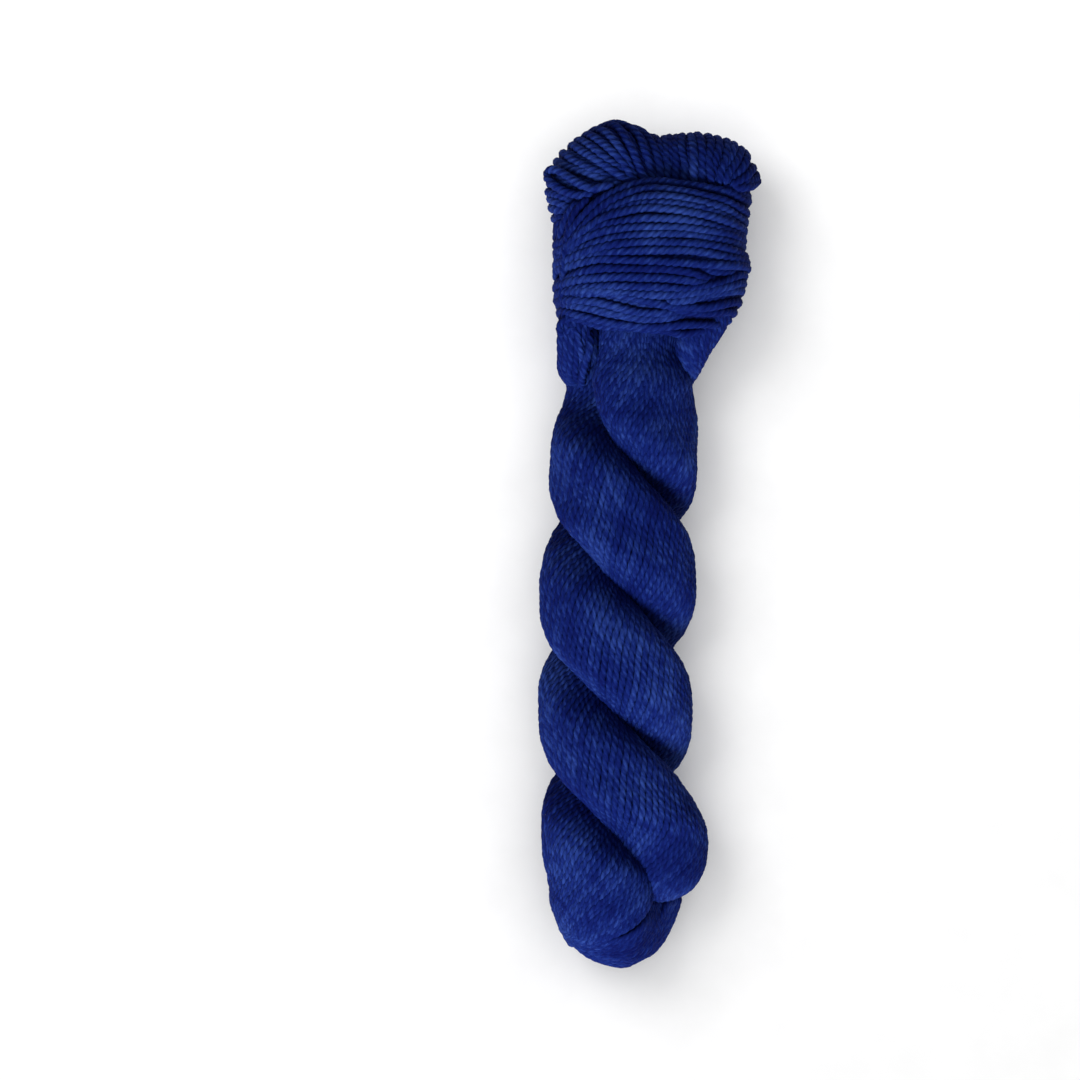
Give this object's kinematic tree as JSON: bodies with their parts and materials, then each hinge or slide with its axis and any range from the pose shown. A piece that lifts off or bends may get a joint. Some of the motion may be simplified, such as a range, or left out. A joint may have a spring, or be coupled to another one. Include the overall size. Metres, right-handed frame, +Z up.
{
  "type": "hank of yarn",
  "caption": "Twisted hank of dark blue plied wool yarn, lying on its back, with a wrapped head, a folded-over crest and a rounded tail.",
  "frame": {"origin": "centre of the bounding box, at the surface that the hank lies on", "axes": "+Z up from that surface, +Y along the hank toward its wrapped head, +X to the right of the hank seen from above with its head away"},
  "size_m": [0.0673, 0.2552, 0.0482],
  "materials": {
    "yarn": "soft matt plied wool"
  },
  "bodies": {
    "root": {"hank": "yarn"}
  },
  "joints": []
}
